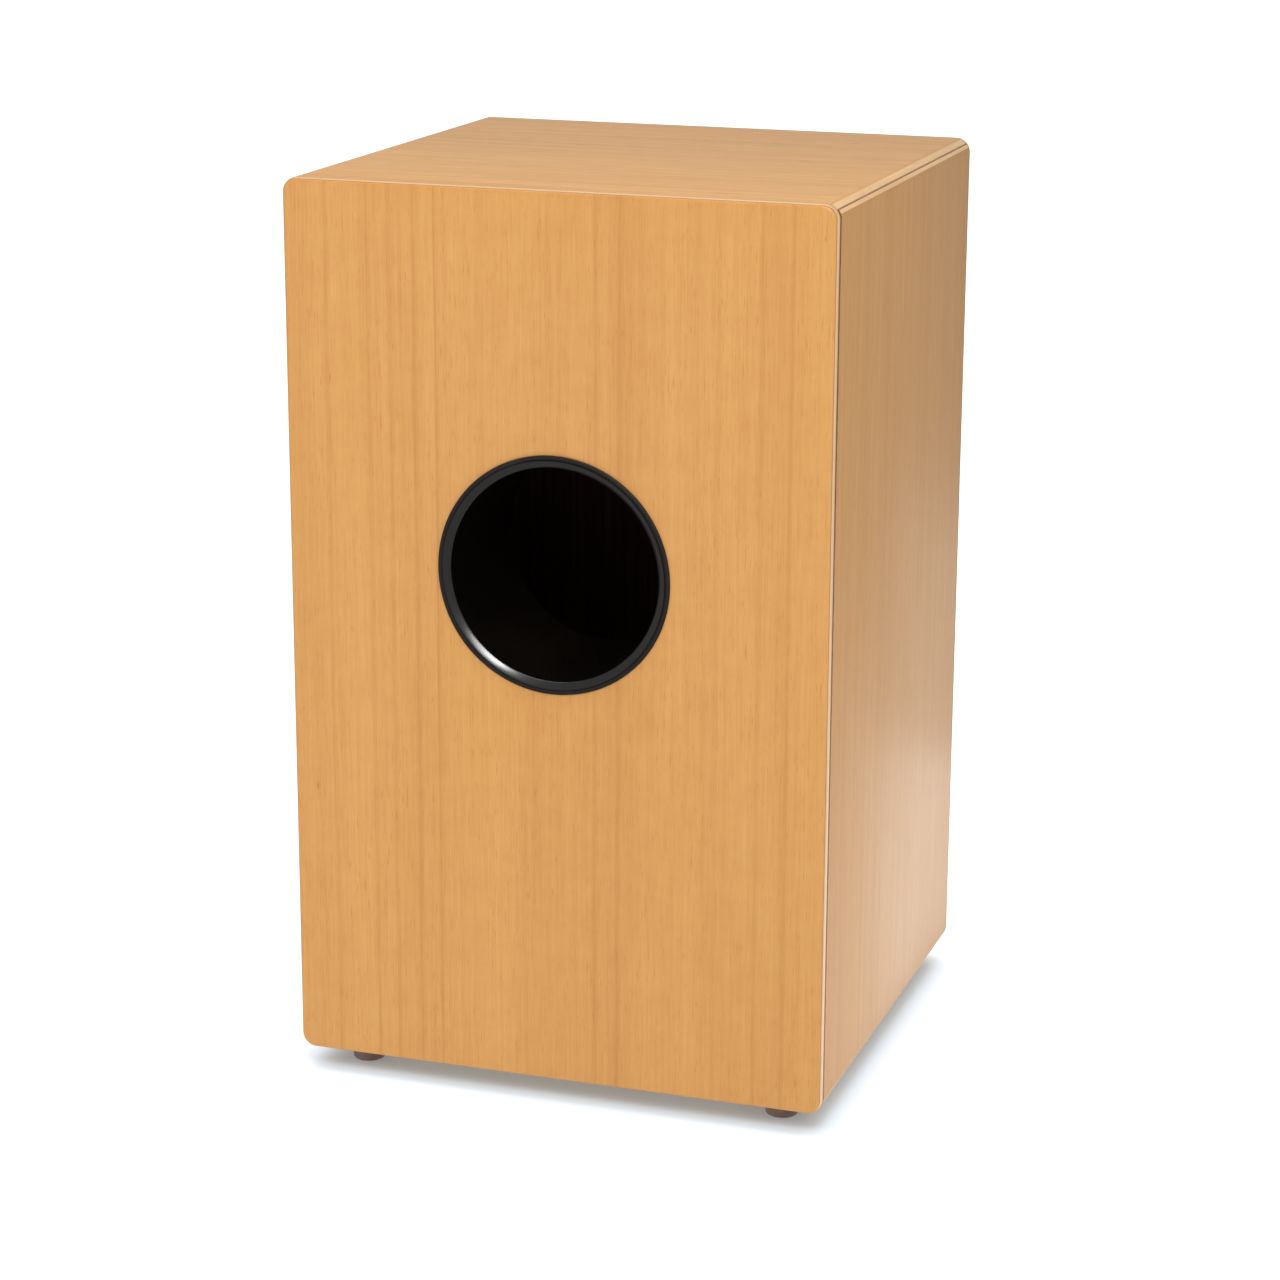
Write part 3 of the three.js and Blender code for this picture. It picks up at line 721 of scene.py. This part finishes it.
def screw_blank(name, head, dome, sink, shank, length, point):
    """A threaded screw with its head's rim at height 0, its dome up and its point down."""
    neck = max(sink, 0.15 * MM)
    outline = [(0, dome), (head * 0.35, dome * 0.97), (head * 0.66, dome * 0.8), (head * 0.88, dome * 0.45)]
    outline += [(head, dome * 0.08), (head, -0.05 * MM), (shank * 0.86, -neck), (shank * 0.86, -neck - MM)]
    height = -neck - MM
    while height - THREAD_PITCH > point - length:
        outline += [(shank * 0.74, height - 0.45 * THREAD_PITCH), (shank * 1.1, height - 0.5 * THREAD_PITCH)]
        outline += [(shank * 0.74, height - 0.6 * THREAD_PITCH)]
        height -= THREAD_PITCH
    outline += [(shank * 0.7, point - length), (0, -length)]
    screw = turned(name, outline, 24)
    arm, blade, depth = head * 0.56, head * 0.11, dome * 0.75
    for long_x, long_y in ((arm, blade), (blade, arm)):
        slot = add_block("slot", (-long_x, -long_y, dome - depth), (long_x, long_y, dome + depth))
        pick(slot, "FACE", lambda f: f.normal.z < -0.9)
        bpy.ops.transform.resize(value=(0.6, 0.6, 1))
        done()
        cut_away(screw, [slot])
    take(screw)
    bpy.ops.object.shade_smooth_by_angle(angle=SHARP)
    return screw


def metal(name, colour, wear, roughness, metallic=1.0):
    n = Nodes(name)
    haze = n.noise(n.place, scale=420, detail=4, roughness=0.65)[0]
    grit = n.noise(n.place, scale=3800, detail=2)[0]
    n.link(n.mix(n.ramp(haze, [(0.38, 0), (0.66, 1)]), colour, wear), n.shader.inputs["Base Color"])
    n.link(n.math("MULTIPLY_ADD", haze, 0.25, roughness - 0.12), n.shader.inputs["Roughness"])
    n.shader.inputs["Metallic"].default_value = metallic
    n.bump(grit, 0.15, 0.02 * MM)
    return n.material


black_steel = metal("blacked_steel", (0.018, 0.018, 0.02), (0.05, 0.048, 0.045), 0.38, 0.85)
zinc = metal("zinc_plate", (0.60, 0.61, 0.63), (0.46, 0.47, 0.50), 0.34)


def place_screw(blank, node, seat_point, facing, turn, body, finish):
    """Copies the blank to a seat, with its head facing a direction and its cross turned to an angle."""
    aim = Vector(facing).to_track_quat("Z", "Y").to_matrix().to_4x4()
    driven = Matrix.Translation(seat_point) @ aim @ Matrix.Rotation(turn, 4, "Z")
    screw = own_copy(blank, node + "_detail", driven)
    screw.data.materials.append(finish)
    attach(screw, body)
    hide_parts(node)


blank = screw_blank("tapa_screw", SCREW_HEAD, 1.5 * MM, SCREW_SINK, 1.75 * MM, 16 * MM, 3 * MM)
for index, name in enumerate(tapa_screws):
    middle = centre_of(name)
    seat_point = (middle.x, tapa_face_y, middle.z)
    place_screw(blank, name, seat_point, (0, -1, 0), index * GOLDEN, "box", black_steel)
bpy.data.objects.remove(blank)

blank = screw_blank("foot_screw", 3.6 * MM, FOOT_HEAD_DOME, 0, 1.75 * MM, 18 * MM, 3 * MM)
foot_names = ("back_left", "back_right", "front_left", "front_right")
for index, name in enumerate(foot_names):
    node = "foot_screw_" + name
    middle = centre_of(node)
    seat_point = (middle.x, middle.y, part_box(node)[0].z + FOOT_HEAD_DOME)
    place_screw(blank, node, seat_point, (0, 0, -1), index * GOLDEN, "box", zinc)
bpy.data.objects.remove(blank)

# ---- Sound port -----------------------------------------------------------------------------------
# One black plastic moulding, pushed into the back panel: a glossy tube with a rolled lip, and a thin
# matt flange that hides the edge of the hole. Its outline is drawn with the panel's face at height 0.
TUBE_RADIUS = 57.5 * MM
LIP_RADIUS = 61.7 * MM
FLANGE_RADIUS = 64.3 * MM
FLANGE = 1 * MM
CREST = 1.5 * MM
TUBE_END = CREST - 91 * MM
TUBE_CORNER = 0.6 * MM
LIP_BENDS = ((0.8, 90, 40), (3.6, 40, 28), (0.5, 28, 0))  # length along the lip (mm), slope from and to
LIP_STEPS = 5

outline = [(TUBE_RADIUS, 0)]
for length, slope, last_slope in LIP_BENDS:
    for step in range(LIP_STEPS):
        lean = radians(slope + (last_slope - slope) * (step + 0.5) / LIP_STEPS)
        radius, height = outline[-1]
        stride = length * MM / LIP_STEPS
        outline.append((radius + stride * cos(lean), height + stride * sin(lean)))
outline = [(radius, height + CREST - outline[-1][1]) for radius, height in outline]
outline += [(LIP_RADIUS - 0.1 * MM, CREST - 0.12 * MM), (LIP_RADIUS, CREST - 0.35 * MM)]
outline += [(LIP_RADIUS + 0.05 * MM, FLANGE - 0.45 * MM), (LIP_RADIUS + 0.3 * MM, FLANGE - 0.45 * MM)]
outline += [(LIP_RADIUS + 0.45 * MM, FLANGE - 0.08 * MM), (LIP_RADIUS + 0.6 * MM, FLANGE)]
outline += [(FLANGE_RADIUS - 0.5 * MM, FLANGE)]
outline += [(FLANGE_RADIUS - 0.2 * MM, FLANGE - 0.15 * MM), (FLANGE_RADIUS, FLANGE - 0.5 * MM)]
outline += [(FLANGE_RADIUS, SEAM), (PORT_OUTER, SEAM), (PORT_OUTER, TUBE_END + TUBE_CORNER)]
outline += [(PORT_OUTER - TUBE_CORNER, TUBE_END), (TUBE_RADIUS + TUBE_CORNER, TUBE_END)]
outline += [(TUBE_RADIUS, TUBE_END + TUBE_CORNER), outline[0]]
port = turned("port", outline, 144)
port.rotation_euler = (-pi / 2, 0, 0)
port.location = (0, back_high.y, port_z)
bpy.ops.object.transform_apply(location=True, rotation=True, scale=True)


def tube_gloss():
    """Polished black, with a faint haze and a few specks of dust."""
    n = Nodes("port_gloss")
    haze = n.noise(n.place, scale=26, detail=4, roughness=0.6)[0]
    dust = n.ramp(n.noise(n.place, scale=700, detail=2)[0], [(0.70, 0), (0.78, 1)])
    black = n.mix(n.math("MULTIPLY", dust, 0.35), (0.0035, 0.0026, 0.0021), (0.02, 0.018, 0.016))
    n.link(black, n.shader.inputs["Base Color"])
    n.link(n.math("MULTIPLY_ADD", haze, 0.10, 0.20), n.shader.inputs["Roughness"])
    n.shader.inputs["Specular IOR Level"].default_value = 0.8
    n.shader.inputs["Coat Weight"].default_value = 0.3
    n.shader.inputs["Coat Roughness"].default_value = 0.2
    n.bump(haze, 0.05, 0.1 * MM)
    return n.material


def flange_matt():
    """The fine spark-eroded texture of the mould."""
    n = Nodes("port_matt")
    grit = n.noise(n.place, scale=1500, detail=3, roughness=0.6)[0]
    wear = n.noise(n.place, scale=60, detail=4, roughness=0.65)[0]
    matt = n.mix(grit, (0.0095, 0.0072, 0.0060), (0.019, 0.0150, 0.0125))
    matt = n.mix(n.ramp(wear, [(0.55, 0), (0.75, 0.6)]), matt, (0.032, 0.027, 0.023))
    n.link(matt, n.shader.inputs["Base Color"])
    n.link(n.math("MULTIPLY_ADD", grit, 0.2, 0.42), n.shader.inputs["Roughness"])
    n.shader.inputs["Specular IOR Level"].default_value = 0.25
    n.bump(grit, 0.5, 0.08 * MM)
    return n.material


def out_from_axis(face):
    centre = face.calc_center_median()
    return sqrt(centre.x ** 2 + (centre.z - port_z) ** 2)


port.data.materials.append(tube_gloss())
port.data.materials.append(flange_matt())
pick(port, "FACE", lambda f: out_from_axis(f) > LIP_RADIUS)
port.active_material_index = 1
bpy.ops.object.material_slot_assign()
done()
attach(port, "box")
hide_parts("sound_port")

# ---- Feet -----------------------------------------------------------------------------------------
# Moulded rubber, tapered, with a rounded lower edge and a deep bore: the screw pulls a plated washer
# against the bore's floor, clear of the ground.
FOOT_RADIUS = 10 * MM
FOOT_RIM = 9 * MM
FOOT_BORE = 5 * MM
FOOT_SEAT = 6.5 * MM
FOOT_SCUFF = 4 * MM  # how far up from the ground dust and scuffs reach
WASHER_RADIUS = 4.6 * MM
WASHER_EDGE = 0.2 * MM
foot_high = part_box("foot_back_left")[1].z

outline = [(FOOT_BORE + 0.4 * MM, 0), (FOOT_RIM - 1.6 * MM, 0), (FOOT_RIM - 1.0 * MM, 0.12 * MM)]
outline += [(FOOT_RIM - 0.45 * MM, 0.45 * MM), (FOOT_RIM - 0.12 * MM, 0.95 * MM), (FOOT_RIM, 1.6 * MM)]
outline += [(FOOT_RADIUS - 0.55 * MM, 7.2 * MM), (FOOT_RADIUS - 0.62 * MM, 7.5 * MM)]
outline += [(FOOT_RADIUS - 0.45 * MM, 7.8 * MM), (FOOT_RADIUS - 0.05 * MM, foot_high - 0.5 * MM)]
outline += [(FOOT_RADIUS - 0.4 * MM, foot_high), (SCREW_HOLE, foot_high), (SCREW_HOLE, FOOT_SEAT)]
outline += [(FOOT_BORE, FOOT_SEAT), (FOOT_BORE, 0.4 * MM), (FOOT_BORE + 0.4 * MM, 0)]
foot_blank = turned("foot", outline, 48)

washer_low, washer_high = (corner.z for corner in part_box("foot_washer_back_left"))
outline = [(SCREW_HOLE, washer_low), (WASHER_RADIUS - WASHER_EDGE, washer_low)]
outline += [(WASHER_RADIUS, washer_low + WASHER_EDGE), (WASHER_RADIUS, washer_high - WASHER_EDGE)]
outline += [(WASHER_RADIUS - WASHER_EDGE, washer_high), (SCREW_HOLE, washer_high), (SCREW_HOLE, washer_low)]
washer_blank = turned("washer", outline, 32)


def rubber_material():
    """Brown rubber with a pale bloom, dusty near the ground."""
    n = Nodes("foot_rubber")
    bloom = n.noise(n.place, scale=140, detail=4, roughness=0.65)[0]
    grit = n.noise(n.place, scale=1600, detail=3, roughness=0.6)[0]
    z = n.split(n.place)[2]
    scuff = n.ramp(n.math("DIVIDE", z, FOOT_SCUFF), [(0.0, 1.0), (0.9, 0.0)])
    brown = n.mix(n.ramp(bloom, [(0.35, 0), (0.7, 1)]), (0.185, 0.112, 0.088), (0.27, 0.180, 0.148))
    dusty = n.math("MULTIPLY", scuff, n.math("MULTIPLY", grit, 0.6))
    n.link(n.mix(dusty, brown, (0.30, 0.26, 0.23)), n.shader.inputs["Base Color"])
    n.link(n.math("MULTIPLY_ADD", grit, 0.25, 0.30), n.shader.inputs["Roughness"])
    n.bump(grit, 0.35, 0.1 * MM)
    return n.material


rubber = rubber_material()
for name in foot_names:
    middle = centre_of("foot_" + name)
    for blank, node, finish, slot_name in (
        (foot_blank, "foot_" + name, rubber, "foot_rubber"),
        (washer_blank, "foot_washer_" + name, zinc, "zinc_steel"),
    ):
        piece = own_copy(blank, node + "_detail", Matrix.Translation((middle.x, middle.y, 0)))
        piece.data.materials.append(finish)
        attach(piece, "box")
        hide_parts(node)
bpy.data.objects.remove(foot_blank)
bpy.data.objects.remove(washer_blank)

# ---- Snare bar and its end blocks -----------------------------------------------------------------
# Steamed beech. The bar's ends are turned down to pins, which turn stiffly in blocks screwed to the
# sides, so that the snares can be swung away from the playing panel.
PIN_RADIUS = 7 * MM
PIN_BORE = PIN_RADIUS + 0.1 * MM
BLOCK_HOLE = 1.9 * MM
STRIP_HOLE = 1.4 * MM
HEAD_GAP = 0.1 * MM  # a screw's rim stands this far off what it holds
bar_low, bar_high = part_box("snare_bar")
bar_middle = (bar_low + bar_high) / 2
block_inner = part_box("snare_block_right")[0].x
batten_end = block_inner - 3 * MM

strip_screws = sorted(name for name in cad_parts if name.startswith("snare_strip_screw_"))
bar = add_block("bar", (-batten_end, bar_low.y, bar_low.z), (batten_end, bar_high.y, bar_high.z))
round_edges(bar, lambda e: runs_along(e, 0), 1.5 * MM, 4)
axle_start = (bar_low.x, bar_middle.y, bar_middle.z)
axle_end = (bar_high.x, bar_middle.y, bar_middle.z)
cut_away(bar, [add_rod("axle", axle_start, axle_end, PIN_RADIUS, 64)], "UNION")
holes = []
for name in strip_screws:
    middle = centre_of(name)
    start = (middle.x, bar_low.y - MM, middle.z)
    holes.append(add_rod("hole", start, (middle.x, bar_middle.y, middle.z), STRIP_HOLE, 24))
cut_away(bar, holes)
ease_edges(bar, 0.4 * MM)


def beech_material(name, along, shift):
    """Pinkish beech, with the short dark ray flecks that its planed faces show."""
    n = Nodes(name)
    colour, relief = wood_figure(n, along, shift, (0.66, 0.41, 0.24), (0.52, 0.29, 0.15))
    flecks = n.noise(n.stretched(n.place, grain_scale(along, 1400, 300), shift), detail=1)[0]
    colour = n.mix(n.ramp(flecks, [(0.63, 0), (0.70, 0.7)]), colour, (0.36, 0.17, 0.08))
    varnish(n, colour, relief, roughness=0.55, coat=0)
    return n.material


bar.data.materials.append(beech_material("bar_beech", 0, (0.2, 0.6, 0.1)))
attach(bar, "snare")
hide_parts("snare_bar")

block_blank = screw_blank("block_screw", 3.4 * MM, 1.8 * MM, 0, 1.6 * MM, 25 * MM, 3 * MM)
for index, (place, side) in enumerate((("left", -1), ("right", 1))):
    node = "snare_block_" + place
    low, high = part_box(node)
    block = add_block(node + "_detail", low, high)
    round_edges(block, lambda e: abs(middle_of(e).x) < abs(centre_of(node).x) + 8 * MM, 2.5 * MM, 5)
    start, end = (low.x - MM, bar_middle.y, bar_middle.z), (high.x + MM, bar_middle.y, bar_middle.z)
    holes = [add_rod("bore", start, end, PIN_BORE, 64)]
    for level in ("lower", "upper"):
        screw_node = f"snare_block_screw_{place}_{level}"
        middle = centre_of(screw_node)
        start, end = (low.x - MM, middle.y, middle.z), (high.x + MM, middle.y, middle.z)
        holes.append(add_rod("hole", start, end, BLOCK_HOLE, 24))
        seat_point = (side * (block_inner - HEAD_GAP), middle.y, middle.z)
        turn_angle = (2 * index + (level == "upper")) * GOLDEN
        place_screw(block_blank, screw_node, seat_point, (-side, 0, 0), turn_angle, "box", zinc)
    cut_away(block, holes)
    ease_edges(block, 0.2 * MM)
    block.data.materials.append(beech_material(node + "_beech", 2, (0.5 + side, 0.1, 0.9)))
    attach(block, "box")
    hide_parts(node)
bpy.data.objects.remove(block_blank)

# ---- Snares ---------------------------------------------------------------------------------------
# Ten coiled spring-steel wires each, spread like a fan. Their ends are gripped in the fold of a plated
# strip, which two small screws hold to the bar.
STRIP_PLATE = 1 * MM
LEAF = 0.7 * MM
FOLD_RISE = 6 * MM
WIRES = 10
COIL = 1.28 * MM  # outer radius of a coil
WIRE = 0.2 * MM  # radius of the wire that it is wound from
PITCH = 1.15 * MM
COIL_STEPS = 10  # steps in one turn of the coil
WIRE_SIDES = 4
FAN_FOOT = 31 * MM  # half the fan's width at the strip
FAN_TIP = 43 * MM  # and at the wires' free ends
GRIP = 4 * MM  # what the fold holds of each wire

bpy.ops.object.select_all(action="DESELECT")
bpy.ops.mesh.primitive_circle_add(
    vertices=WIRE_SIDES, radius=WIRE, location=(COIL - WIRE, 0, 0), rotation=(pi / 2, 0, 0),
    fill_type="NOTHING",
)
coil = bpy.context.object
bpy.ops.object.transform_apply(location=True, rotation=True, scale=True)
fan_low, fan_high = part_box("snare_wires_left")
coil_length = fan_high.z - fan_low.z + GRIP - 2 * WIRE
winding = coil.modifiers.new("winding", "SCREW")
winding.axis = "Z"
winding.angle = 2 * pi
winding.screw_offset = PITCH
winding.iterations = int(coil_length * 0.99 / PITCH)
winding.steps = COIL_STEPS
winding.render_steps = COIL_STEPS
winding.use_merge_vertices = True
winding.merge_threshold = 0.001 * MM
bpy.ops.object.modifier_apply(modifier=winding.name)
pick(coil, "EDGE", lambda e: e.is_boundary)
bpy.ops.mesh.edge_face_add()
bpy.ops.mesh.select_all(action="SELECT")
bpy.ops.mesh.normals_make_consistent(inside=False)
done()
bpy.ops.object.shade_smooth_by_angle(angle=radians(80))

spring = metal("spring_steel", (0.72, 0.73, 0.75), (0.58, 0.59, 0.62), 0.26)
strip_blank = screw_blank("strip_screw", 2.4 * MM, 1.2 * MM, 0, 1.1 * MM, 9 * MM, 2 * MM)
for place, side in (("left", -1), ("right", 1)):
    strip_node, wires_node = "snare_strip_" + place, "snare_wires_" + place
    low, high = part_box(strip_node)
    strip = add_block(strip_node + "_detail", (low.x, high.y - STRIP_PLATE, low.z), high)
    leaf = add_block("leaf", (low.x, low.y, high.z - FOLD_RISE), (high.x, low.y + LEAF, high.z))
    bend = add_block("bend", (low.x, low.y, high.z - FOLD_RISE), (high.x, high.y, high.z - FOLD_RISE + LEAF))
    cut_away(strip, [leaf, bend], "UNION")
    at_fold = lambda e: runs_along(e, 0) and abs(middle_of(e).y - low.y) < NEAR
    round_edges(strip, at_fold, 0.55 * MM, 4)
    holes = []
    for index, end in enumerate(("inner", "outer")):
        screw_node = f"snare_strip_screw_{place}_{end}"
        middle = centre_of(screw_node)
        start, stop = (middle.x, low.y - MM, middle.z), (middle.x, high.y + MM, middle.z)
        holes.append(add_rod("hole", start, stop, STRIP_HOLE, 24))
        seat_point = (middle.x, high.y - STRIP_PLATE - HEAD_GAP, middle.z)
        turn_angle = (index + 2 + side) * GOLDEN
        place_screw(strip_blank, screw_node, seat_point, (0, -1, 0), turn_angle, "snare", zinc)
    cut_away(strip, holes)
    ease_edges(strip, 0.15 * MM, 1)
    strip.data.materials.append(zinc)
    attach(strip, "snare")
    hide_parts(strip_node)

    fan_low, fan_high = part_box(wires_node)
    middle = (fan_low + fan_high) / 2
    foot_half, tip_half = FAN_FOOT - COIL, FAN_TIP - COIL - 0.3 * MM
    rise = fan_high.z - fan_low.z
    wires = []
    for index in range(WIRES):
        spread = 2 * index / (WIRES - 1) - 1
        lean = asin(spread * (tip_half - foot_half) / rise)
        foot_x = spread * foot_half - GRIP * lean
        fanned = Matrix.Translation((middle.x + foot_x, middle.y, fan_low.z - GRIP + WIRE))
        fanned = fanned @ Matrix.Rotation(lean, 4, "Y") @ Matrix.Rotation(index * GOLDEN, 4, "Z")
        wires.append(own_copy(coil, "wire", fanned))
    take(wires[0])
    for wire in wires:
        wire.select_set(True)
    bpy.ops.object.join()
    wires[0].name = wires_node + "_detail"
    wires[0].data.materials.append(spring)
    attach(wires[0], "snare")
    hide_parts(wires_node)
bpy.data.objects.remove(strip_blank)
bpy.data.objects.remove(coil)
